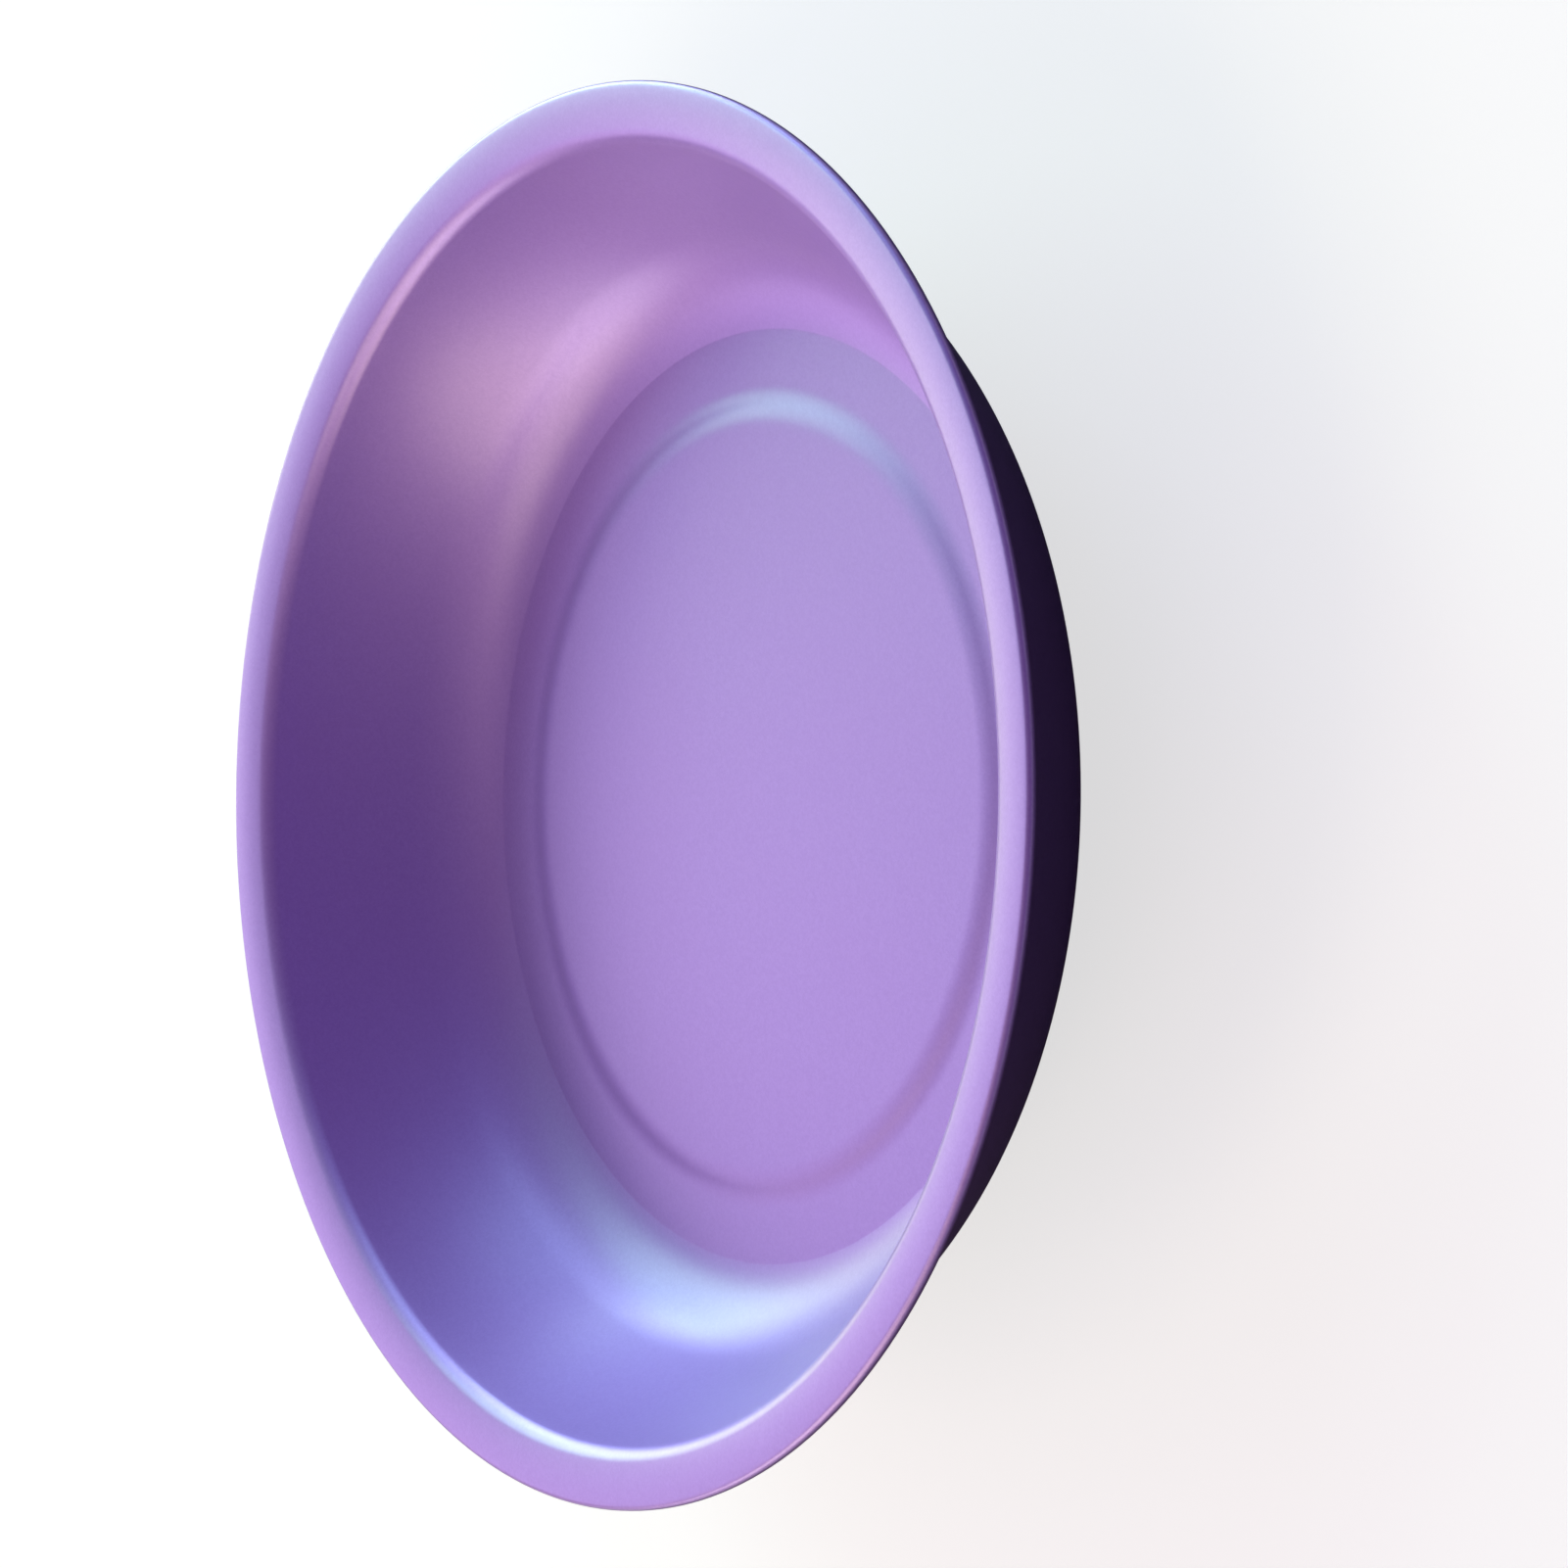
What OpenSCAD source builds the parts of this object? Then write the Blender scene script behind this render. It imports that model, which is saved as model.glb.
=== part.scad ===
// Round magnetic parts tray: a pressed steel bowl with a turned-out flange and a
// raised centre pad, on a rubber-booted ring magnet that a thin nut holds to a stud
// welded under the floor. Millimetres; the boot rests on z = 0 and the bowl opens up.

/* [Bowl] */
// Diameter over the flange
rim_d = 150; // [146:1:166]
// Thickness of the pressed sheet, coat included
sheet_t = 1.2; // [0.9:0.1:1.4]
// Inside depth, from the top of the flange to the floor ring
bowl_depth = 21.9; // [21:0.1:30]
// From the flange's edge in to the crease where the wall leaves the floor ring
wall_run = 24.7; // [23.5:0.1:27]
// Width of the flange, from its edge to the start of the bend
flange_w = 4.4; // [3:0.1:6]
// Radius of the bend between flange and wall, on its upper side
rim_bend_r = 2.4; // [1.8:0.1:3.2]
// Radius of the two corners of the flange's edge, just under half the sheet
edge_r = 0.55; // [0.2:0.05:0.55]
// Inside radius of the curve between wall and floor
corner_r = 15.6; // [12:0.1:17]
// Inside radius of the wall's own gentle curve
wall_r = 60; // [40:1:120]
// Small radius at the crease itself
crease_r = 1.5; // [1:0.1:3]
// Angle that the sheet turns at the crease, in degrees
crease_turn = 9; // [4:1:14]

/* [Raised pad] */
// Width of the floor ring, from the crease to the foot of the pad's step
ring_w = 6.6; // [4:0.1:8]
// Height of the pad above the floor ring
pad_rise = 0.5; // [0.3:0.05:0.6]
// Upper radius at the brow of the step
pad_brow_r = 6; // [3:0.5:8]
// Upper radius at the foot of the step
pad_foot_r = 5; // [3:0.5:8]

/* [Magnet] */
// From the foot of the pad's step in to the edge of the ring magnet
magnet_inset = 8.7; // [7:0.1:12]
// Thickness of the ring magnet
magnet_t = 5; // [4.8:0.1:8]
// Bore of the ring magnet
magnet_bore_d = 24; // [22:1:30]
// Chamfer on the magnet's edges
magnet_chamfer = 0.5; // [0.2:0.1:1]
// Thickness of the foam ring between magnet and bowl
gasket_t = 0.6; // [0.4:0.1:1.2]
// Width of the foam ring
gasket_w = 8; // [5:0.5:10]
// How far the centring ring stops below the magnet's top
centring_drop = 0.4; // [0.2:0.1:1]
// Chamfer at the mouth of the centring ring
centring_chamfer = 0.6; // [0.3:0.1:1]

/* [Keeper plate] */
// Thickness of the steel keeper plate
keeper_t = 1.2; // [1:0.1:1.6]
// How far the keeper stands out past the magnet
keeper_over = 0.5; // [0:0.1:0.6]
// Room around the washer on the flat of the raised hat that the nut pulls on
hat_room = 0.4; // [0.2:0.1:1]
// Draft of the hat's wall, in degrees
hat_draft = 10; // [4:1:14]
// Upper radius at the brow of the hat
hat_brow_r = 1.8; // [1.7:0.1:2.2]
// Upper radius at the foot of the hat
hat_foot_r = 0.8; // [0.5:0.1:1]

/* [Rubber boot] */
// Thickness of the boot's side wall
boot_wall_t = 2.3; // [1.8:0.1:3]
// Thickness of the boot's sole
sole_t = 1.6; // [1.4:0.1:3]
// Draft of the boot's side, in degrees
boot_draft = 2; // [0:1:4]
// Radius around the sole's outer edge
sole_edge_r = 1.2; // [0.6:0.1:1.4]
// Radius at the top of the boot's side
boot_top_r = 0.5; // [0.2:0.1:0.55]
// Width of the lip that folds in over the magnet
lip_w = 2.1; // [1:0.1:3]
// Diameter of the opening under the nut
boot_hole_d = 14.4; // [12:0.1:14.8]
// Radius around that opening
hole_edge_r = 0.5; // [0.2:0.1:0.7]
// Number of grip grooves in the sole
groove_n = 3; // [1:1:4]
// Width of a grip groove
groove_w = 1.8; // [1:0.1:2.5]
// Depth of a grip groove
groove_depth = 0.7; // [0.3:0.1:0.9]

/* [Fixing] */
// Diameter of the weld stud
stud_d = 5; // [4:0.1:5.1]
// Diameter of the stud's weld flange
stud_flange_d = 6.5; // [6:0.1:8]
// Thickness of the stud's weld flange
stud_flange_t = 0.8; // [0.6:0.1:1]
// How far the stud stands past the nut
stud_over = 0.6; // [0.3:0.1:0.8]
// Chamfer at the stud's end
stud_chamfer = 0.4; // [0.2:0.1:0.6]
// Diameter of the hole in the keeper
stud_hole_d = 5.3; // [5.2:0.1:6]
// Outside diameter of the flat washer
washer_d = 10; // [9.4:0.1:10.4]
// Bore of the flat washer
washer_bore_d = 5.3; // [5.2:0.1:5.6]
// Thickness of the flat washer
washer_t = 1; // [0.8:0.1:1.2]
// Outside diameter of the split spring washer
spring_d = 9.2; // [8.8:0.1:9.6]
// Bore of the spring washer
spring_bore_d = 5.2; // [5.15:0.05:5.6]
// Thickness of the spring washer, pulled flat
spring_t = 1.2; // [1:0.1:1.4]
// Width of the split
split_w = 0.7; // [0.4:0.1:1.2]
// Slope of the split, in degrees
split_slope = 20; // [0:5:30]
// Nut size across its flats
nut_af = 8; // [7.6:0.1:8.4]
// Thickness of the nut
nut_t = 2.7; // [2.2:0.1:3]
// Angle of the nut's chamfers, in degrees
nut_chamfer = 30; // [15:5:35]
// Depth of the chamfer at the nut's thread
bore_chamfer = 0.4; // [0.2:0.1:0.5]

/* [Clearances] */
// Gap between a loose piece and what it drops into
fit_gap = 0.2; // [0.1:0.05:0.4]
// Gap that stands for the thread between stud and nut
thread_gap = 0.05; // [0.02:0.01:0.1]

/* [Hidden] */

$fn = 180;                 // true rounds, seen through a fine preview
arc_step = 5;              // degrees between the points of an arc
cut_over = 1;              // overrun of every cut

// Heights, from the surface that the boot rests on
keeper_z = sole_t;
magnet_z = keeper_z + keeper_t;
gasket_z = magnet_z + magnet_t;
pad_under_z = gasket_z + gasket_t;
pad_z = pad_under_z + sheet_t;
floor_z = pad_z - pad_rise;
rim_z = floor_z + bowl_depth;

// Heights of the fixing, counted down from the underside of the pad
hat_z = pad_under_z - stud_flange_t;
washer_z = hat_z - keeper_t - washer_t;
spring_z = washer_z - spring_t;
nut_z = spring_z - nut_t;
stud_end_z = nut_z - stud_over;

// Radii, from the flange's edge inwards
rim_r = rim_d / 2;
floor_r = rim_r - wall_run;
pad_r = floor_r - ring_w;
magnet_r = pad_r - magnet_inset;
magnet_bore_r = magnet_bore_d / 2;
keeper_r = magnet_r + keeper_over;
boot_r = keeper_r + fit_gap + boot_wall_t;
flange_edge_r = min(edge_r, 0.48 * sheet_t);

// Points along an arc about c, from angle a0 to angle a1
function arc(c, r, a0, a1) =
    let (n = max(1, ceil(abs(a1 - a0) / arc_step)))
    [for (i = [0 : n]) let (a = a0 + (a1 - a0) * i / n) c + r * [cos(a), sin(a)]];

function reversed(points) = [for (i = [len(points) - 1 : -1 : 0]) points[i]];

// Section of a pressed sheet. Each bend is [centre, upper radius, from angle, to angle,
// side]; side is 1 where the sheet lies towards the centre and -1 where it lies beyond.
// The underside follows the same bends, one sheet further down.
function pressed(start, bends, t, edge) = concat(
    [start],
    [for (b = bends) each arc(b[0], b[1], b[2], b[3])],
    edge,
    reversed([for (b = bends) each arc(b[0], b[1] - b[4] * t, b[2], b[3])]),
    [start - [0, t]]);

// The pad's step is an S of two arcs that both turn by step_turn
step_turn = acos(1 - pad_rise / (pad_brow_r + pad_foot_r));
step_w = (pad_brow_r + pad_foot_r) * sin(step_turn);
pad_foot = [pad_r, floor_z + pad_foot_r];
pad_brow = [pad_r - step_w, pad_z - pad_brow_r];

// The wall is the arc that runs on smoothly from the floor's corner and into the rim's
// bend. corner_turn and wall_turn are the angles at which it starts and ends.
crease = [floor_r, floor_z + crease_r];
corner = crease + (corner_r - crease_r) * [-sin(crease_turn), cos(crease_turn)];
rim_bend = [rim_r - flange_w, rim_z - rim_bend_r];
rim_span = rim_bend - corner;
wall_offset = wall_r - corner_r;
wall_reach = (pow(wall_r + rim_bend_r, 2) - pow(norm(rim_span), 2) - pow(wall_offset, 2))
    / (2 * wall_offset);
corner_turn = atan2(rim_span[1], rim_span[0]) - acos(wall_reach / norm(rim_span));
wall = corner - wall_offset * [cos(corner_turn), sin(corner_turn)];
wall_turn = atan2(rim_bend[1] - wall[1], rim_bend[0] - wall[0]);

// The hat's wall runs straight between its brow and its foot, at its draft
hat_turn = 90 - hat_draft;
hat_rounds = hat_brow_r + hat_foot_r;
hat_run = (hat_z - magnet_z - hat_rounds * (1 - sin(hat_draft))) * tan(hat_draft);
hat_brow = [washer_d / 2 + hat_room, hat_z - hat_brow_r];
hat_foot = [hat_brow[0] + hat_rounds * cos(hat_draft) + hat_run, magnet_z + hat_foot_r];

module tray_bowl() {
    bends = [
        [pad_brow, pad_brow_r, 90, 90 - step_turn, 1],
        [pad_foot, pad_foot_r, -90 - step_turn, -90, -1],
        [crease, crease_r, -90, -90 + crease_turn, -1],
        [corner, corner_r, -90 + crease_turn, corner_turn, -1],
        [wall, wall_r, corner_turn, wall_turn, -1],
        [rim_bend, rim_bend_r, wall_turn + 180, 90, 1]];
    edge_x = rim_r - flange_edge_r;
    edge = concat(
        arc([edge_x, rim_z - flange_edge_r], flange_edge_r, 90, 0),
        arc([edge_x, rim_z - sheet_t + flange_edge_r], flange_edge_r, 0, -90));
    color("mediumpurple")
        rotate_extrude() polygon(pressed([0, pad_z], bends, sheet_t, edge));
}

module weld_stud() {
    r = stud_d / 2;
    color("silver") rotate_extrude() polygon([
        [0, pad_under_z], [stud_flange_d / 2, pad_under_z], [stud_flange_d / 2, hat_z],
        [r, hat_z], [r, stud_end_z + stud_chamfer], [r - stud_chamfer, stud_end_z],
        [0, stud_end_z]]);
}

module gasket_ring() {
    gasket_r = magnet_r - lip_w - fit_gap;
    color("dimgray") ring(gasket_r, gasket_r - gasket_w, gasket_z, gasket_t);
}

module ring_magnet() {
    c = magnet_chamfer;
    outer = magnet_r - c;
    inner = magnet_bore_r + c;
    color("darkslategray") translate([0, 0, magnet_z]) rotate_extrude() polygon([
        [inner, 0], [outer, 0], [magnet_r, c], [magnet_r, magnet_t - c], [outer, magnet_t],
        [inner, magnet_t], [magnet_bore_r, magnet_t - c], [magnet_bore_r, c]]);
}

module centring_ring() {
    outer = magnet_bore_r - fit_gap;
    inner = hat_foot[0] + fit_gap;
    h = magnet_t - centring_drop;
    c = min(centring_chamfer, (outer - inner) / 2);
    color("ivory") translate([0, 0, magnet_z]) rotate_extrude() polygon([
        [inner, 0], [outer, 0], [outer, h], [inner + c, h], [inner, h - c]]);
}

module keeper_plate() {
    bends = [
        [hat_brow, hat_brow_r, 90, 90 - hat_turn, 1],
        [hat_foot, hat_foot_r, -90 - hat_turn, -90, -1]];
    edge = [[keeper_r, magnet_z], [keeper_r, keeper_z]];
    color("gainsboro")
        rotate_extrude() polygon(pressed([stud_hole_d / 2, hat_z], bends, keeper_t, edge));
}

module flat_washer() {
    color("silver") ring(washer_d / 2, washer_bore_d / 2, washer_z, washer_t);
}

module spring_washer() {
    reach = spring_d;
    color("silver") difference() {
        ring(spring_d / 2, spring_bore_d / 2, spring_z, spring_t);
        translate([0, 0, spring_z + spring_t / 2]) rotate([split_slope, 0, 0])
            translate([0, -split_w / 2, -reach / 2]) cube([reach, split_w, reach]);
    }
}

module thin_nut() {
    corner_x = nut_af / 2 / cos(30);
    flat_x = nut_af / 2;
    drop = (corner_x - flat_x) * tan(nut_chamfer);
    bore_r = stud_d / 2 + thread_gap;
    mouth_r = bore_r + bore_chamfer;
    color("silver") translate([0, 0, nut_z]) intersection() {
        cylinder(h = nut_t, r = corner_x, $fn = 6);
        rotate_extrude() polygon([
            [mouth_r, 0], [flat_x, 0], [corner_x, drop], [corner_x, nut_t - drop],
            [flat_x, nut_t], [mouth_r, nut_t], [bore_r, nut_t - bore_chamfer],
            [bore_r, bore_chamfer]]);
    }
}

module rubber_boot() {
    inner_r = keeper_r + fit_gap;
    lip_x = magnet_r - lip_w;
    hole_x = boot_hole_d / 2;
    sole_edge = [boot_r - sole_edge_r, sole_edge_r];
    top_rise = pad_under_z - boot_top_r - sole_edge_r;
    top_inset = (top_rise * sin(boot_draft) - sole_edge_r + boot_top_r) / cos(boot_draft);
    top_edge = sole_edge + [-top_inset, top_rise];
    groove_pitch = (sole_edge[0] - hole_x) / (groove_n + 1);
    color("#1c1c1e") rotate_extrude() difference() {
        polygon(concat(
            arc(sole_edge, sole_edge_r, -90, boot_draft),
            arc(top_edge, boot_top_r, boot_draft, 90),
            [[lip_x, pad_under_z], [lip_x, gasket_z], [inner_r, gasket_z],
             [inner_r, sole_t], [hole_x, sole_t]],
            arc([hole_x + hole_edge_r, hole_edge_r], hole_edge_r, 180, 270)));
        for (i = [1 : groove_n]) translate([hole_x + i * groove_pitch, 0]) groove();
    }
}

// One grip groove, cut up into the sole, half as wide at its bottom as at its mouth
module groove() {
    mouth = groove_w / 2;
    bottom = mouth / 2;
    polygon([[-mouth, -cut_over], [mouth, -cut_over], [mouth, 0],
             [bottom, groove_depth], [-bottom, groove_depth], [-mouth, 0]]);
}

// A plain ring that stands on height z
module ring(outer, inner, z, h) {
    translate([0, 0, z]) difference() {
        cylinder(h = h, r = outer);
        translate([0, 0, -cut_over]) cylinder(h = h + 2 * cut_over, r = inner);
    }
}

tray_bowl();
weld_stud();
gasket_ring();
ring_magnet();
centring_ring();
keeper_plate();
flat_washer();
spring_washer();
thin_nut();
rubber_boot();
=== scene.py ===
# %% [markdown]
# # A round magnetic parts tray
#
# The tray is a pressed steel bowl in a pearly purple powder coat. It stands on a ring
# magnet in a black rubber boot, and a thin nut holds the magnet to a stud under the floor.
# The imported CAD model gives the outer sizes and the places, and the bends are written here
# again as on its drawing. Blender adds what a section drawing can't: smooth spun surfaces, a
# thread, and finishes that take the light like the real ones.

# %% Load the fixed frame
from math import acos, atan2, cos, degrees, hypot, pi, radians, sin, tan

import bpy
from mathutils import Matrix, Vector


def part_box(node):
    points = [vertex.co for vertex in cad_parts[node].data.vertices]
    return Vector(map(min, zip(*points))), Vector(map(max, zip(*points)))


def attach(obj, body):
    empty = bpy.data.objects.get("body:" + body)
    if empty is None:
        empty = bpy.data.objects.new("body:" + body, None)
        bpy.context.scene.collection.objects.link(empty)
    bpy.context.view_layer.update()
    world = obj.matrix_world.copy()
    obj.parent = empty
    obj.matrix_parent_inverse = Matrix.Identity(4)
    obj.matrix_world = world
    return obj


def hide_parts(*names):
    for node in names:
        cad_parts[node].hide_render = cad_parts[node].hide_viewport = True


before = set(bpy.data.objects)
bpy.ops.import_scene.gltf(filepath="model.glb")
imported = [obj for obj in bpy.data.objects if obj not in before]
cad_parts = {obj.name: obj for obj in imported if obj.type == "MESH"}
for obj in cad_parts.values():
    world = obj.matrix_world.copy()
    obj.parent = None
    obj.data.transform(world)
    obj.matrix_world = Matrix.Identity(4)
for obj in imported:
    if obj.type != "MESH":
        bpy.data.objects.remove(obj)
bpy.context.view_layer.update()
print("nodes:", ", ".join(sorted(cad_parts)))

# %% [markdown]
# Blender works in metres and a tray is drawn in millimetres. One factor, used wherever
# a drawing size turns into a place, keeps the numbers below the same as on the drawing.

# %% Millimetres and the tray's main heights
MM = 0.001


def top_of(node):
    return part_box(node)[1].z / MM


def bottom_of(node):
    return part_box(node)[0].z / MM


rim_top = top_of("tray_bowl")
rim_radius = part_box("tray_bowl")[1].x / MM
pad_under = top_of("rubber_boot")
print(f"rim {2 * rim_radius:.1f} mm across, {rim_top:.1f} mm up")

# %% [markdown]
# ## Camera
#
# The camera could be aimed with a Track To constraint, but a constraint can't be rolled.
# The tray is seen as it hangs on a wall, so the camera is first tilted down to the
# angle at which the rim turns into the right ellipse, and then rolled by a quarter turn.

# %% Camera
LONG_SIDE_PIXELS = 1601
FOCAL_PIXELS = 5000
CAMERA_ELEVATION = 35.76
CAMERA_ROLL = -89.43
CAMERA_OFFSET = Vector((21.0, 1.15, 516.6))
SENSOR_WIDTH = 36
CLIP_NEAR, CLIP_FAR = 0.01, 20

tilt = Matrix.Rotation(radians(90 - CAMERA_ELEVATION), 3, "X")
roll = Matrix.Rotation(radians(CAMERA_ROLL), 3, "Z")
camera_turn = tilt @ roll

camera_data = bpy.data.cameras.new("view_camera")
camera_data.sensor_width = SENSOR_WIDTH
camera_data.lens = camera_data.sensor_width * FOCAL_PIXELS / LONG_SIDE_PIXELS
camera_data.clip_start, camera_data.clip_end = CLIP_NEAR, CLIP_FAR
camera = bpy.data.objects.new("view_camera", camera_data)
bpy.context.collection.objects.link(camera)
camera.rotation_euler = camera_turn.to_euler()
camera.location = (Vector((0, 0, rim_top)) + camera_turn @ CAMERA_OFFSET) * MM
bpy.context.scene.camera = camera
bpy.context.scene.view_settings.view_transform = "Standard"
print(f"lens {camera_data.lens:.1f} mm")

# %% [markdown]
# ## Drawing a section and spinning it
#
# A pressed bowl, a rubber cup and a washer are all bodies of revolution. One could scale
# rings of a cylinder by hand, but a section of lines and arcs keeps each bend at its true
# radius. So a single point is made from a plane, extruded along the section, and spun.


# %% Helpers for sections
WELD = 0.0005 * MM
SMOOTH_BELOW, MACHINED_SMOOTH_BELOW = radians(35), radians(25)


def arc(centre, radius, start, end, steps):
    """Points along an arc, with angles in degrees."""
    turns = [radians(start + (end - start) * i / steps) for i in range(steps + 1)]
    return [(centre[0] + radius * cos(a), centre[1] + radius * sin(a)) for a in turns]


def deselect_all():
    if bpy.context.mode != "OBJECT":
        bpy.ops.object.mode_set(mode="OBJECT")
    bpy.ops.object.select_all(action="DESELECT")


def draw_section(name, points, closed):
    """A chain of edges in the XZ plane through (radius, height) points in millimetres."""
    deselect_all()
    places = [Vector((r, 0, z)) * MM for r, z in points]
    bpy.ops.mesh.primitive_plane_add(size=MM, location=places[0])
    piece = bpy.context.object
    piece.name = piece.data.name = name
    bpy.ops.object.transform_apply(location=True)
    bpy.ops.object.mode_set(mode="EDIT")
    bpy.ops.mesh.select_all(action="SELECT")
    bpy.ops.mesh.merge(type="CENTER")
    for here, there in zip(places, places[1:]):
        bpy.ops.mesh.extrude_region_move(TRANSFORM_OT_translate={"value": there - here})
    if closed:
        bpy.ops.mesh.extrude_region_move(
            TRANSFORM_OT_translate={"value": places[0] - places[-1]})
        bpy.ops.mesh.select_all(action="SELECT")
        bpy.ops.mesh.remove_doubles(threshold=WELD)
    return piece


def finish_shell():
    """Welds what meets and turns every face outwards, in edit mode."""
    bpy.ops.mesh.select_all(action="SELECT")
    bpy.ops.mesh.remove_doubles(threshold=WELD)
    bpy.ops.mesh.normals_make_consistent(inside=False)


def spin_section(piece, steps):
    """Spins a section that is in edit mode into a closed, smooth shell."""
    bpy.ops.mesh.select_all(action="SELECT")
    bpy.ops.mesh.spin(steps=steps, angle=2 * pi, center=(0, 0, 0), axis=(0, 0, 1))
    finish_shell()
    bpy.ops.object.mode_set(mode="OBJECT")
    bpy.ops.object.shade_smooth_by_angle(angle=SMOOTH_BELOW)


def report(piece):
    """Prints how many triangles a piece has and how large it is."""
    triangles = sum(len(p.vertices) - 2 for p in piece.data.polygons)
    low, high = (Vector(f(v.co[i] for v in piece.data.vertices) for i in range(3)) / MM
                 for f in (min, max))
    size = high - low
    print(f"{piece.name}: {triangles} triangles, {size.x:.1f} x {size.y:.1f} x {size.z:.1f} mm")


# %% [markdown]
# ## The bowl
#
# The bowl is one steel disc that a press has drawn into a deep dish: a raised pad in the
# middle, a floor ring, a crease, a wide curve up into the wall, and a flange turned out at
# the rim. A coat of paint makes the sheet 1.2 mm thick. Every bend is written once, as its
# centre and upper radius, and the underside follows the same bends one sheet lower.
#
# Two bends are softer here than in the CAD model, because the light shows them so. The
# pad's step is wider. The flange isn't flat but a wide arc, nearly level at the outer edge
# and 12 degrees down where it meets the bend. The centre of that arc follows from its two
# end angles and the flange's width.

# %% Sizes of the bowl
SHEET = 1.2
PAD_RISE = 0.5
FLOOR = pad_under + SHEET - PAD_RISE
BROW_RADIUS, FOOT_RADIUS = 11, 9
PAD_FOOT_AT = 44.4
CREASE_AT, CREASE_RADIUS, CREASE_TURN = 50.3, 1.5, 9
CORNER_RADIUS, WALL_RADIUS = 15.6, 60
FLANGE, RIM_BEND_RADIUS, EDGE_RADIUS = 4.4, 2.4, 0.55
FLANGE_TILT_OUT, FLANGE_TILT_IN = 1, 12

step_turn = degrees(acos(1 - PAD_RISE / (BROW_RADIUS + FOOT_RADIUS)))
step_width = (BROW_RADIUS + FOOT_RADIUS) * sin(radians(step_turn))
brow = (PAD_FOOT_AT - step_width, FLOOR + PAD_RISE - BROW_RADIUS)
foot = (PAD_FOOT_AT, FLOOR + FOOT_RADIUS)
crease = (CREASE_AT, FLOOR + CREASE_RADIUS)
corner = (crease[0] - (CORNER_RADIUS - CREASE_RADIUS) * sin(radians(CREASE_TURN)),
          crease[1] + (CORNER_RADIUS - CREASE_RADIUS) * cos(radians(CREASE_TURN)))
tilt_out, tilt_in = radians(FLANGE_TILT_OUT), radians(FLANGE_TILT_IN)
edge_at = (rim_radius - EDGE_RADIUS, rim_top - EDGE_RADIUS)
crown_radius = (FLANGE - EDGE_RADIUS * (1 + sin(tilt_out)) + RIM_BEND_RADIUS * sin(tilt_in)) / (
    sin(tilt_in) - sin(tilt_out))
crown = (edge_at[0] + (crown_radius - EDGE_RADIUS) * sin(tilt_out),
         edge_at[1] - (crown_radius - EDGE_RADIUS) * cos(tilt_out))
rim_bend = (rim_radius - FLANGE, crown[1] + (crown_radius - RIM_BEND_RADIUS) * cos(tilt_in))
span = (rim_bend[0] - corner[0], rim_bend[1] - corner[1])
wall_offset = WALL_RADIUS - CORNER_RADIUS
wall_reach = ((WALL_RADIUS + RIM_BEND_RADIUS) ** 2 - hypot(*span) ** 2
              - wall_offset ** 2) / (2 * wall_offset)
corner_turn = degrees(atan2(span[1], span[0]) - acos(wall_reach / hypot(*span)))
wall = (corner[0] - wall_offset * cos(radians(corner_turn)),
        corner[1] - wall_offset * sin(radians(corner_turn)))
wall_turn = degrees(atan2(rim_bend[1] - wall[1], rim_bend[0] - wall[0]))
print(f"the wall leans {-corner_turn:.1f} degrees at its foot, {-wall_turn:.1f} at the rim")

# %% [markdown]
# A long flat next to a tight bend would take some of the bend's shading, because smooth
# shading blends the normals at the shared edge. Extra points close to each bend hold the
# flats flat, which is what a modeller's support loops do.

# %% The bowl's section and its spin
BOWL_STEPS = 256
PAD_SHARES = [0.25, 0.5, 0.75, 0.9, 0.97, 0.992]
FLAT_SHARES = [0.03, 0.12, 0.35, 0.65, 0.88, 0.97]
LONG_FLAT = 0.5


def between(start, end, shares):
    """Points at shares of the way from start to end."""
    return [tuple(s + (e - s) * k for s, e in zip(start, end)) for k in shares]


def bowl_side(drop):
    """The pressed line from the axis to the flange, drop below the upper surface."""
    bends = [
        arc(brow, BROW_RADIUS - drop, 90, 90 - step_turn, 8),
        arc(foot, FOOT_RADIUS + drop, -90 - step_turn, -90, 8),
        arc(crease, CREASE_RADIUS + drop, -90, -90 + CREASE_TURN, 5),
        arc(corner, CORNER_RADIUS + drop, -90 + CREASE_TURN, corner_turn, 24),
        arc(wall, WALL_RADIUS + drop, corner_turn, wall_turn, 14),
        arc(rim_bend, RIM_BEND_RADIUS - drop, wall_turn + 180, 90 + FLANGE_TILT_IN, 16),
        arc(crown, crown_radius - drop, 90 + FLANGE_TILT_IN, 90 + FLANGE_TILT_OUT, 14),
    ]
    centre = (0, FLOOR + PAD_RISE - drop)
    line = [centre] + between(centre, bends[0][0], PAD_SHARES) + bends[0]
    for bend, following in zip(bends, bends[1:]):
        here, there = bend[-1], following[0]
        if hypot(there[0] - here[0], there[1] - here[1]) > LONG_FLAT:
            line += between(here, there, FLAT_SHARES)
        line += following
    return line


low_edge_at = (edge_at[0], edge_at[1] - (SHEET - 2 * EDGE_RADIUS) / cos(tilt_out))
edge = (arc(edge_at, EDGE_RADIUS, 90 + FLANGE_TILT_OUT, 0, 8)
        + arc(low_edge_at, EDGE_RADIUS, 0, FLANGE_TILT_OUT - 90, 8))
upper, lower = bowl_side(0), bowl_side(SHEET)[:-1]

bowl = draw_section("bowl", upper + edge + lower[::-1], closed=False)
spin_section(bowl, BOWL_STEPS)
report(bowl)

# %% [markdown]
# ## Small turned and moulded pieces
#
# Washers, plates, the magnet and the boot are rings with a few rounded corners. A Bevel
# modifier could round them after the spin, but a corner that is rounded in the section
# costs nothing and can have its own radius, so each corner is written with its rounding.


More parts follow.
